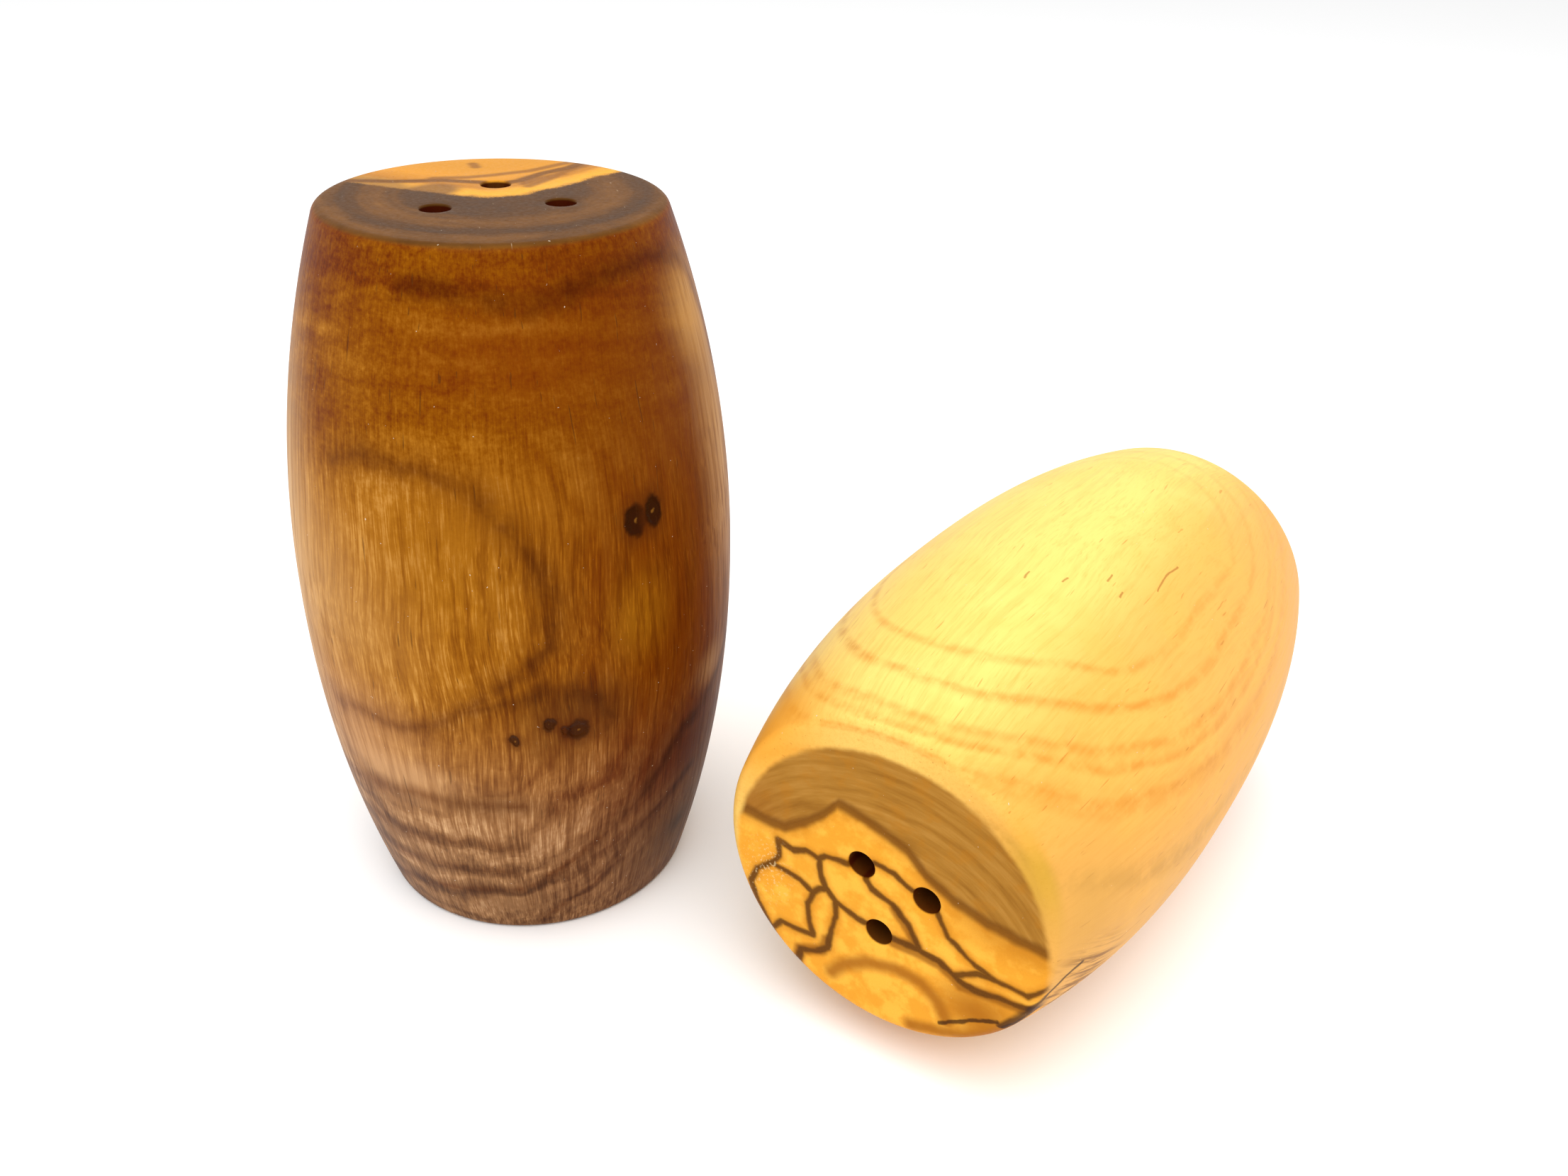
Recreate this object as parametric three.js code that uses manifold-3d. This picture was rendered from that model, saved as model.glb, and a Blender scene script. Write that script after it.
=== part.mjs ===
// A pair of turned wooden shakers for salt and pepper: a dark one that stands on its base, and a
// light one that lies on its belly beside it. Each is one barrel-shaped piece of wood, bored from
// below, with three sprinkle holes through the top and a soft stopper pushed into the base.
//
// Millimetres, +Z up. The origin is the centre of the pair's bounding box, on the surface that the
// pair rests on. The light shaker's axis lies along Y, with its top towards -Y.

import * as THREE from 'three';
import { mergeVertices } from 'three/addons/utils/BufferGeometryUtils.js';
import Module from 'manifold-3d';

const wasm = await Module();
wasm.setup();

// The two turned bodies. Each side bulges by a power of the distance from the belly.
const DARK = {
  height: 80.0,
  topRadius: 17.2,
  bellyRadius: 23.85,
  baseRadius: 18.0,
  bellyHeight: 40.3,
  topPower: 2.07,
  basePower: 2.09,
  // The holes are drilled by eye, so they lie on no exact circle. X and Y from the body's axis.
  holes: [[-1.1, -6.8], [-3.3, 3.7], [6.5, 2.6]],
};
const LIGHT = {
  height: 77.0,
  topRadius: 18.05,
  bellyRadius: 23.5,
  baseRadius: 18.55,
  bellyHeight: 41.1,
  topPower: 2.34,
  basePower: 2.35,
  holes: [[-2.5, 1.2], [4.8, 0.4], [0.0, -6.3]],
};

// Where the light shaker lies, seen from the dark one's axis.
const AXIS_SPACING = 53.05; // along X, from the dark axis to the light axis
const BASE_OFFSET = 69.6; // along Y, from the dark axis to the light shaker's base

const RIM_ROUNDING = 1.2;
const BASE_ROUNDING = 0.9;
const HOLE_RADIUS = 1.5;

// The bore, the same in both bodies.
const TOP_THICKNESS = 8.0; // wood left over the bore, at its middle
const BORE_RADIUS = 11.0;
const BORE_CONE = 2.0; // rise of the drill's point at the end of the bore
const BORE_CHAMFER = 0.6;
const RECESS_RADIUS = 13.4; // the wider, shallow recess that the stopper's flange sits in
const RECESS_DEPTH = 3.0;

// The stopper, the same in both bodies.
const FIT_GAP = 0.3; // between the stopper and the wood
const FLANGE_FACE = 1.0; // how far the flange's outer face is sunk in from the base
const FLANGE_EDGE = 0.4; // rounding of the flange's edge
const PLUG_LENGTH = 8.8; // from the flange to the plug's inner end
const PLUG_WALL = 1.9;
const RIB_HEIGHT = 0.5; // how far a sealing rib stands out of the plug
const RIB_WIDTH = 1.8;
const RIB_STARTS = [1.7, 4.7]; // from the flange
const PLUG_TAPER = 1.1;
const TAB_OUTER_RADIUS = 11.4;
const TAB_INNER_RADIUS = 6.6;
const TAB_HALF_ANGLE = THREE.MathUtils.degToRad(52);
const TAB_RISE = 0.75; // how far the pull tab stands proud of the flange's outer face
const TAB_SINK = 0.5; // how far the tab reaches into the flange, to join it

// Fineness of the faceted solids. Both counts divide by 4, so that each belly touches its box.
const BODY_SEGMENTS = 48;
const STOPPER_SEGMENTS = 40;
const HOLE_SEGMENTS = 16;
const SIDE_STEPS = 6;
const ROUNDING_STEPS = 3;

const materials = {
  darkWood: { color: 0x8a5524, roughness: 0.42, metalness: 0 },
  lightWood: { color: 0xe9c171, roughness: 0.4, metalness: 0 },
  rubber: { color: 0x2b2a28, roughness: 0.7, metalness: 0 },
};

function sideRadius(body, height) {
  if (height > body.bellyHeight) {
    const rise = (height - body.bellyHeight) / (body.height - body.bellyHeight);
    return body.bellyRadius - (body.bellyRadius - body.topRadius) * rise ** body.topPower;
  }
  const drop = (body.bellyHeight - height) / body.bellyHeight;
  return body.bellyRadius - (body.bellyRadius - body.baseRadius) * drop ** body.basePower;
}

// The rounding between the side and a flat end, as points from the side to the flat. It starts
// in line with the side's slope there. end is the end's height, and out is 1 at the top, -1 at
// the base.
function rounding(body, end, out, radius) {
  const step = 0.01;
  const narrowing = sideRadius(body, end - out * step) - sideRadius(body, end);
  const slope = Math.atan(narrowing / step);
  const startHeight = end - out * radius * (1 - Math.sin(slope));
  const centre = sideRadius(body, startHeight) - radius * Math.cos(slope);
  const points = [];
  for (let i = 0; i <= ROUNDING_STEPS; i += 1) {
    const angle = slope + (Math.PI / 2 - slope) * (i / ROUNDING_STEPS);
    points.push([centre + radius * Math.cos(angle), end - out * radius * (1 - Math.sin(angle))]);
  }
  return points;
}

// Half of the wood's cross-section as [radius, height] points: down the bore, across the base and
// up the outside. It starts and ends on the axis.
function woodOutline(body) {
  const boreEnd = body.height - TOP_THICKNESS;
  const bore = [
    [0, boreEnd],
    [BORE_RADIUS, boreEnd - BORE_CONE],
    [BORE_RADIUS, RECESS_DEPTH + BORE_CHAMFER],
    [BORE_RADIUS + BORE_CHAMFER, RECESS_DEPTH],
    [RECESS_RADIUS, RECESS_DEPTH],
    [RECESS_RADIUS, 0],
  ];
  const baseEdge = rounding(body, 0, -1, BASE_ROUNDING).reverse();
  const rim = rounding(body, body.height, 1, RIM_ROUNDING);
  const low = baseEdge.at(-1)[1];
  const high = rim[0][1];
  const side = [];
  for (let i = 1; i < SIDE_STEPS; i += 1) {
    const height = low + (body.bellyHeight - low) * (i / SIDE_STEPS);
    side.push([sideRadius(body, height), height]);
  }
  for (let i = 0; i < SIDE_STEPS; i += 1) {
    const height = body.bellyHeight + (high - body.bellyHeight) * (i / SIDE_STEPS);
    side.push([sideRadius(body, height), height]);
  }
  return [...bore, ...baseEdge, ...side, ...rim, [0, body.height]];
}

// Half of the stopper's cross-section: its outer face, the flange, the ribbed plug and the hollow.
function stopperOutline() {
  const flangeRadius = RECESS_RADIUS - FIT_GAP;
  const flangeTop = RECESS_DEPTH - FIT_GAP;
  const ribRadius = BORE_RADIUS - FIT_GAP;
  const plugRadius = ribRadius - RIB_HEIGHT;
  const plugEnd = flangeTop + PLUG_LENGTH;
  const flange = [
    [0, FLANGE_FACE],
    [flangeRadius - FLANGE_EDGE, FLANGE_FACE],
    [flangeRadius, FLANGE_FACE + FLANGE_EDGE],
    [flangeRadius, flangeTop - FLANGE_EDGE],
    [flangeRadius - FLANGE_EDGE, flangeTop],
    [plugRadius, flangeTop],
  ];
  const ribs = RIB_STARTS.flatMap((start) => [
    [plugRadius, flangeTop + start],
    [ribRadius, flangeTop + start + RIB_HEIGHT],
    [ribRadius, flangeTop + start + RIB_WIDTH - RIB_HEIGHT],
    [plugRadius, flangeTop + start + RIB_WIDTH],
  ]);
  const end = [
    [plugRadius, plugEnd - PLUG_TAPER],
    [plugRadius - PLUG_TAPER / 2, plugEnd],
    [plugRadius - PLUG_WALL, plugEnd],
    [plugRadius - PLUG_WALL, FLANGE_FACE + PLUG_WALL],
    [0, FLANGE_FACE + PLUG_WALL],
  ];
  return [...flange, ...ribs, ...end];
}

// Turns an outline about the Z axis.
function turned(outline, segments) {
  const points = outline.map(([radius, height]) => new THREE.Vector2(radius, height));
  return new THREE.LatheGeometry(points, segments).rotateX(Math.PI / 2);
}

// The half-moon grip on the stopper's outer face.
function pullTab() {
  const shape = new THREE.Shape();
  shape.absarc(0, 0, TAB_OUTER_RADIUS, -TAB_HALF_ANGLE, TAB_HALF_ANGLE, false);
  shape.absarc(0, 0, TAB_INNER_RADIUS, TAB_HALF_ANGLE, -TAB_HALF_ANGLE, true);
  shape.closePath();
  const depth = TAB_RISE + TAB_SINK;
  const settings = { depth, bevelEnabled: false, curveSegments: 10 };
  return new THREE.ExtrudeGeometry(shape, settings).translate(0, 0, FLANGE_FACE - TAB_RISE);
}

// One straight sprinkle hole, as the drill's cylinder through the wood over the bore.
function drill(body, [x, y]) {
  const length = TOP_THICKNESS + BORE_CONE + 2;
  const middle = body.height + 1 - length / 2;
  const cylinder = new THREE.CylinderGeometry(HOLE_RADIUS, HOLE_RADIUS, length, HOLE_SEGMENTS);
  return cylinder.rotateX(Math.PI / 2).translate(x, y, middle);
}

function toSolid(geometry) {
  geometry.deleteAttribute('normal');
  geometry.deleteAttribute('uv');
  const merged = mergeVertices(geometry, 1e-4);
  const index = merged.getIndex().array;
  const corners = [];
  for (let i = 0; i < index.length; i += 3) {
    const [a, b, c] = index.slice(i, i + 3);
    if (a !== b && b !== c && c !== a) {
      corners.push(a, b, c);
    }
  }
  const vertProperties = new Float32Array(merged.getAttribute('position').array);
  const triVerts = new Uint32Array(corners);
  return new wasm.Manifold(new wasm.Mesh({ numProp: 3, vertProperties, triVerts }));
}

function toGeometry(solid) {
  const { vertProperties, triVerts } = solid.getMesh();
  const geometry = new THREE.BufferGeometry();
  geometry.setAttribute('position', new THREE.BufferAttribute(vertProperties, 3));
  geometry.setIndex(new THREE.BufferAttribute(triVerts, 1));
  geometry.computeVertexNormals();
  return geometry;
}

function part(name, solid, finish) {
  const mesh = new THREE.Mesh(toGeometry(solid), new THREE.MeshStandardMaterial(finish));
  mesh.name = name;
  return mesh;
}

// A wooden body and its stopper, standing on Z = 0 with the axis along Z.
function shaker(name, body, wood) {
  let solid = toSolid(turned(woodOutline(body), BODY_SEGMENTS));
  for (const hole of body.holes) {
    solid = solid.subtract(toSolid(drill(body, hole)));
  }
  const plug = toSolid(turned(stopperOutline(), STOPPER_SEGMENTS)).add(toSolid(pullTab()));
  const group = new THREE.Group();
  group.add(part(`${name}_body`, solid, wood));
  group.add(part(`${name}_stopper`, plug, materials.rubber));
  return group;
}

// The dark shaker takes the pair's lowest X and Y, and the light one its highest.
const width = DARK.bellyRadius + AXIS_SPACING + LIGHT.bellyRadius;
const depth = DARK.bellyRadius + BASE_OFFSET;

const dark = shaker('dark_shaker', DARK, materials.darkWood);
dark.position.set(DARK.bellyRadius - width / 2, DARK.bellyRadius - depth / 2, 0);

const light = shaker('light_shaker', LIGHT, materials.lightWood);
light.rotation.x = Math.PI / 2;
light.position.set(width / 2 - LIGHT.bellyRadius, depth / 2, LIGHT.bellyRadius);

const shakers = new THREE.Group();
shakers.add(dark, light);

export default shakers;
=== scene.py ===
"""A pair of turned wooden shakers for salt and pepper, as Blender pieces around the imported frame.

Each wooden body is one closed mesh, turned about its own axis, with real sprinkle holes, bore and
recess. Each stopper is one moulded plug. Every piece is made in its own frame (base on Z = 0, axis
along Z) and then put where its CAD node is. The meshes and the patterns in the materials are laid
out in millimetres of that frame. The floor, the light and the camera are in metres.
"""

from math import atan, atan2, ceil, cos, hypot, pi, radians, sin, sqrt, tan

import bpy
from mathutils import Matrix, Vector
from mathutils.geometry import delaunay_2d_cdt


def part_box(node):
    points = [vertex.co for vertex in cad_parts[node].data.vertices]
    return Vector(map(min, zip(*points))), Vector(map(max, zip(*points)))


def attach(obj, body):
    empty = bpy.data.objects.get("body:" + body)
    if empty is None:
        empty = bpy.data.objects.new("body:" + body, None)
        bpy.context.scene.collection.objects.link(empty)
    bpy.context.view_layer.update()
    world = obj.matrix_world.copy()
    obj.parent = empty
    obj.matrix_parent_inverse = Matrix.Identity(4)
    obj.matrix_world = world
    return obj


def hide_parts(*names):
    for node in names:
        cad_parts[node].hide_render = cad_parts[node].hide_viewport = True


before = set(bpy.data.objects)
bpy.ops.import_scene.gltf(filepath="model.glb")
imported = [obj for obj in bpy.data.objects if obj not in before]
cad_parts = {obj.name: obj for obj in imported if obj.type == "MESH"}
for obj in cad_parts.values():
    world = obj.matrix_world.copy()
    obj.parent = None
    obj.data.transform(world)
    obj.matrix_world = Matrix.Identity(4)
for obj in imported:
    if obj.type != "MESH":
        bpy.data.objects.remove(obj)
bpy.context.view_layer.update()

MM = 0.001  # one millimetre in metres

# ---- Driving sizes, in millimetres ----
# The bodies' heights, belly radii and places come from the frame.

DARK = {
    "name": "dark_shaker",
    "top_radius": 17.2,
    "base_radius": 18.0,
    "belly_height": 40.3,
    "top_power": 2.07,
    "base_power": 2.09,
    "holes": [(-1.1, -6.8), (-3.3, 3.7), (6.5, 2.6)],
}
LIGHT = {
    "name": "light_shaker",
    "top_radius": 18.05,
    "base_radius": 18.55,
    "belly_height": 41.1,
    "top_power": 2.34,
    "base_power": 2.35,
    "holes": [(-2.5, 1.2), (4.8, 0.4), (0.0, -6.3)],
}

RIM_ROUNDING = 1.2
BASE_ROUNDING = 0.9
HOLE_RADIUS = 1.5
HOLE_LIP = 0.22

TOP_THICKNESS = 8.0
BORE_RADIUS = 11.0
BORE_CONE = 2.0
BORE_CHAMFER = 0.6
RECESS_RADIUS = 13.4
RECESS_DEPTH = 3.0
TURNED_EDGE = 0.25

FIT_GAP = 0.3
FLANGE_FACE = 1.0
PLUG_LENGTH = 8.8
PLUG_WALL = 1.9
RIB_HEIGHT = 0.5
RIB_WIDTH = 1.8
RIB_STARTS = (1.7, 4.7)
PLUG_TAPER = 1.1
TAB_OUTER_RADIUS = 11.4
TAB_INNER_RADIUS = 6.6
TAB_HALF_ANGLE = radians(52)
TAB_RISE = 0.75
TAB_SOFTNESS = 0.35  # how far the tab's edges are blended, to each side
RIDGE_PITCH = 1.2  # from one grip ridge on the tab to the next
RIDGE_DEPTH = 0.22  # the ridges' depth as a share of the tab's rise

HOLLOW_ROUNDING = 0.6
PLUG_ROUNDING = 0.3
PLUG_TIP_ROUNDING = 0.35
RIB_ROOT_ROUNDING = 0.2
FLANGE_ROUNDING = 0.4

BODY_SEGMENTS = 240
STOPPER_SEGMENTS = 160
HOLE_SEGMENTS = 48
LIP_FACETS = 4  # across the rounded lip of a sprinkle hole
TAB_RINGS = 64  # rings across the stopper's outer face, fine enough for the tab's ridges
SIDE_STEP = 0.8  # the length of one facet down a body's side
FACE_STEP = 1.1  # the spacing of the points inside a flat end
RIM_CLEARANCE = 0.6  # how far those points stay from the outer edge, in steps
HOLE_CLEARANCE = 0.5  # and from the holes
SAME_POINT = 1e-5  # points nearer than this are one


# ---- Outlines ----


def side_radius(body, height):
    """The barrel's radius at a height, both in millimetres."""
    belly = body["belly_height"]
    if height > belly:
        rise = (height - belly) / (body["height"] - belly)
        narrowing = body["belly_radius"] - body["top_radius"]
        return body["belly_radius"] - narrowing * rise ** body["top_power"]
    drop = (belly - height) / belly
    narrowing = body["belly_radius"] - body["base_radius"]
    return body["belly_radius"] - narrowing * drop ** body["base_power"]


def end_rounding(body, end, out, radius, steps=8):
    """Points from the side to a flat end, starting in line with the side. out is 1 at the top."""
    step = 0.01
    slope = atan((side_radius(body, end - out * step) - side_radius(body, end)) / step)
    start = end - out * radius * (1 - sin(slope))
    centre = side_radius(body, start) - radius * cos(slope)
    points = []
    for i in range(steps + 1):
        angle = slope + (pi / 2 - slope) * i / steps
        height = end - out * radius * (1 - sin(angle))
        points.append((centre + radius * cos(angle), height))
    return points


def rounded(corners, steps=4):
    """An outline through corners, each given as (radius, height, rounding)."""
    points = []
    for i, (x, y, size) in enumerate(corners):
        here = Vector((x, y))
        if size == 0:
            points.append((x, y))
            continue
        before = (Vector(corners[i - 1][:2]) - here).normalized()
        after = (Vector(corners[i + 1][:2]) - here).normalized()
        half = before.angle(after) / 2
        start = here + before * size / tan(half)
        end = here + after * size / tan(half)
        centre = here + (before + after).normalized() * size / sin(half)
        turn = (start - centre).angle_signed(end - centre)
        for k in range(steps + 1):
            spoke = start - centre
            spoke.rotate(Matrix.Rotation(-turn * k / steps, 2))
            points.append(tuple(centre + spoke))
    return points


def wood_outline(body):
    """From the end of the bore, across the base and up the outside, to the edge of the flat top."""
    bore_end = body["height"] - TOP_THICKNESS - BORE_CONE
    base_edge = end_rounding(body, 0, -1, BASE_ROUNDING)[::-1]
    rim = end_rounding(body, body["height"], 1, RIM_ROUNDING)
    inside = rounded(
        [
            (BORE_RADIUS, bore_end, 0),
            (BORE_RADIUS, RECESS_DEPTH + BORE_CHAMFER, TURNED_EDGE),
            (BORE_RADIUS + BORE_CHAMFER, RECESS_DEPTH, TURNED_EDGE),
            (RECESS_RADIUS, RECESS_DEPTH, TURNED_EDGE),
            (RECESS_RADIUS, 0, TURNED_EDGE),
            (*base_edge[0], 0),
        ]
    )[:-1]
    low, high = base_edge[-1][1], rim[0][1]
    count = ceil((high - low) / SIDE_STEP)
    heights = [low + (high - low) * i / count for i in range(1, count)]
    # The widest ring lies exactly at the belly, so that the barrel fills its CAD box.
    nearest = min(range(len(heights)), key=lambda i: abs(heights[i] - body["belly_height"]))
    heights[nearest] = body["belly_height"]
    side = [(side_radius(body, h), h) for h in heights]
    return inside + base_edge + side + rim


def stopper_outline():
    """From the middle of the hollow, over the plug's ribs, to the flange's outer face."""
    flange_radius = RECESS_RADIUS - FIT_GAP
    flange_top = RECESS_DEPTH - FIT_GAP
    rib_radius = BORE_RADIUS - FIT_GAP
    plug_radius = rib_radius - RIB_HEIGHT
    plug_end = flange_top + PLUG_LENGTH
    floor = FLANGE_FACE + PLUG_WALL
    corners = [
        (0, floor, 0),
        (plug_radius - PLUG_WALL, floor, HOLLOW_ROUNDING),
        (plug_radius - PLUG_WALL, plug_end, PLUG_ROUNDING),
        (plug_radius - PLUG_TAPER / 2, plug_end, PLUG_TIP_ROUNDING),
        (plug_radius, plug_end - PLUG_TAPER, PLUG_ROUNDING),
    ]
    for start in reversed(RIB_STARTS):
        base = flange_top + start
        corners += [
            (plug_radius, base + RIB_WIDTH, RIB_ROOT_ROUNDING),
            (rib_radius, base + RIB_WIDTH - RIB_HEIGHT, PLUG_ROUNDING),
            (rib_radius, base + RIB_HEIGHT, PLUG_ROUNDING),
            (plug_radius, base, RIB_ROOT_ROUNDING),
        ]
    corners += [
        (plug_radius, flange_top, PLUG_ROUNDING),
        (flange_radius, flange_top, FLANGE_ROUNDING),
        (flange_radius, FLANGE_FACE, FLANGE_ROUNDING),
        (TAB_OUTER_RADIUS + 1, FLANGE_FACE, 0),
    ]
    return rounded(corners)


# ---- Meshes ----


class Surface:
    """Vertices and faces of one closed mesh, in millimetres."""

    def __init__(self):
        self.points = []
        self.faces = []

    def add(self, point):
        self.points.append(tuple(point))
        return len(self.points) - 1

    def ring(self, radius, height, segments, centre=(0, 0)):
        """A circle of points. height is a number or a function of x and y."""
        made = []
        for i in range(segments):
            angle = 2 * pi * i / segments
            x = centre[0] + radius * cos(angle)
            y = centre[1] + radius * sin(angle)
            made.append(self.add((x, y, height(x, y) if callable(height) else height)))
        return made

    def bridge(self, lower, upper):
        """Quads between two rings. The outer side faces away from the axis when upper is above."""
        count = len(lower)
        for i in range(count):
            j = (i + 1) % count
            self.faces.append((lower[i], lower[j], upper[j], upper[i]))

    def plate(self, rim, holes, height, up):
        """Triangles inside the ring rim and outside the rings in holes."""
        loops = [rim, *holes]
        used = [i for loop in loops for i in loop]
        flat = [Vector(self.points[i][:2]) for i in used]
        edges = []
        start = 0
        for loop in loops:
            count = len(loop)
            edges += [(start + i, start + (i + 1) % count) for i in range(count)]
            start += count
        radius = max(p.length for p in flat)
        gaps = [self.middle(hole) for hole in holes]
        inner = grid_points(radius - FACE_STEP * RIM_CLEARANCE, gaps, FACE_STEP)
        made = delaunay_2d_cdt(flat + inner, edges, [], 0, SAME_POINT)
        new_points, triangles, origins = made[0], made[2], made[3]
        index = []
        for point, origin in zip(new_points, origins):
            known = [k for k in origin if k < len(used)]
            if known:
                index.append(used[known[0]])
            else:
                index.append(self.add((point.x, point.y, height(point.x, point.y))))
        for a, b, c in triangles:
            inside = (new_points[a] + new_points[b] + new_points[c]) / 3
            if any((inside - centre).length < gap for centre, gap in gaps):
                continue
            corner = index[a], index[b], index[c]
            self.faces.append(corner if up else corner[::-1])

    def middle(self, ring):
        """The centre and radius of a ring, as seen along Z."""
        centre = sum((Vector(self.points[i][:2]) for i in ring), Vector((0, 0))) / len(ring)
        return centre, (Vector(self.points[ring[0]][:2]) - centre).length

    def piece(self, name, finish, place, sharp_angle=radians(40)):
        """The Blender object, smooth apart from its real edges."""
        mesh = bpy.data.meshes.new(name)
        mesh.from_pydata([Vector(p) * MM for p in self.points], [], self.faces)
        mesh.validate()
        mesh.polygons.foreach_set("use_smooth", [True] * len(mesh.polygons))
        mesh.set_sharp_from_angle(angle=sharp_angle)
        mesh.materials.append(finish)
        made = bpy.data.objects.new(name, mesh)
        made.matrix_world = place
        bpy.context.scene.collection.objects.link(made)
        return made


def grid_points(radius, holes, step):
    """A triangular grid inside a circle, clear of the holes, each given as (centre, radius)."""
    points = []
    row_step = step * sqrt(3) / 2
    rows = ceil(radius / row_step)
    columns = ceil(radius / step) + 1
    spare = step * HOLE_CLEARANCE
    for row in range(-rows, rows + 1):
        for column in range(-columns, columns + 1):
            point = Vector(((column + 0.5 * (row % 2)) * step, row * row_step))
            clear = all((point - centre).length > gap + spare for centre, gap in holes)
            if point.length < radius and clear:
                points.append(point)
    return points


def wood_surface(body):
    """The turned body: bore, recess, base, side, rim, top and the three sprinkle holes."""
    top = body["height"]
    bore_end = top - TOP_THICKNESS

    def cone(x, y):
        return bore_end - BORE_CONE * hypot(x, y) / BORE_RADIUS

    made = Surface()
    rings = [made.ring(r, z, BODY_SEGMENTS) for r, z in wood_outline(body)]
    for lower, upper in zip(rings, rings[1:]):
        made.bridge(lower, upper)
    mouths, ends = [], []
    for centre in body["holes"]:
        lip = []
        for i in range(LIP_FACETS + 1):
            angle = pi / 2 * i / LIP_FACETS
            radius = HOLE_RADIUS + HOLE_LIP * (1 - sin(angle))
            height = top - HOLE_LIP * (1 - cos(angle))
            lip.append(made.ring(radius, height, HOLE_SEGMENTS, centre))
        lip.append(made.ring(HOLE_RADIUS, cone, HOLE_SEGMENTS, centre))
        for upper, lower in zip(lip, lip[1:]):
            made.bridge(upper, lower)
        mouths.append(lip[0])
        ends.append(lip[-1])
    made.plate(rings[-1], mouths, lambda x, y: top, up=True)
    made.plate(rings[0], ends, cone, up=False)
    return made


def smooth_step(low, high, value):
    """0 below low, 1 above high and smooth between."""
    share = min(max((value - low) / (high - low), 0), 1)
    return share * share * (3 - 2 * share)


def tab_height(radius, angle):
    """How far the pull tab stands out of the flange's outer face at a point of it."""
    soft = TAB_SOFTNESS
    across = smooth_step(TAB_INNER_RADIUS - soft, TAB_INNER_RADIUS + soft, radius)
    across *= 1 - smooth_step(TAB_OUTER_RADIUS - soft, TAB_OUTER_RADIUS + soft, radius)
    along = smooth_step(-soft, soft, (TAB_HALF_ANGLE - abs(angle)) * radius)
    ridge = 0.5 + 0.5 * cos(2 * pi * (radius - TAB_INNER_RADIUS) / RIDGE_PITCH)
    return TAB_RISE * across * along * (1 - RIDGE_DEPTH + RIDGE_DEPTH * ridge)


def stopper_surface():
    """The plug, turned, with its outer face as a polar grid that carries the pull tab."""
    made = Surface()
    outline = stopper_outline()
    count = STOPPER_SEGMENTS
    hollow = made.add((0, 0, outline[0][1]))
    rings = [made.ring(r, z, count) for r, z in outline[1:]]
    for i in range(count):
        made.faces.append((hollow, rings[0][i], rings[0][(i + 1) % count]))
    for lower, upper in zip(rings, rings[1:]):
        made.bridge(upper, lower)

    def face(x, y):
        return FLANGE_FACE - tab_height(hypot(x, y), atan2(y, x))

    outer = outline[-1][0]
    last = rings[-1]
    for i in range(1, TAB_RINGS):
        ring = made.ring(outer * (1 - i / TAB_RINGS), face, count)
        made.bridge(ring, last)
        last = ring
    centre = made.add((0, 0, FLANGE_FACE))
    for i in range(count):
        made.faces.append((centre, last[(i + 1) % count], last[i]))
    return made


# ---- Materials ----


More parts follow.
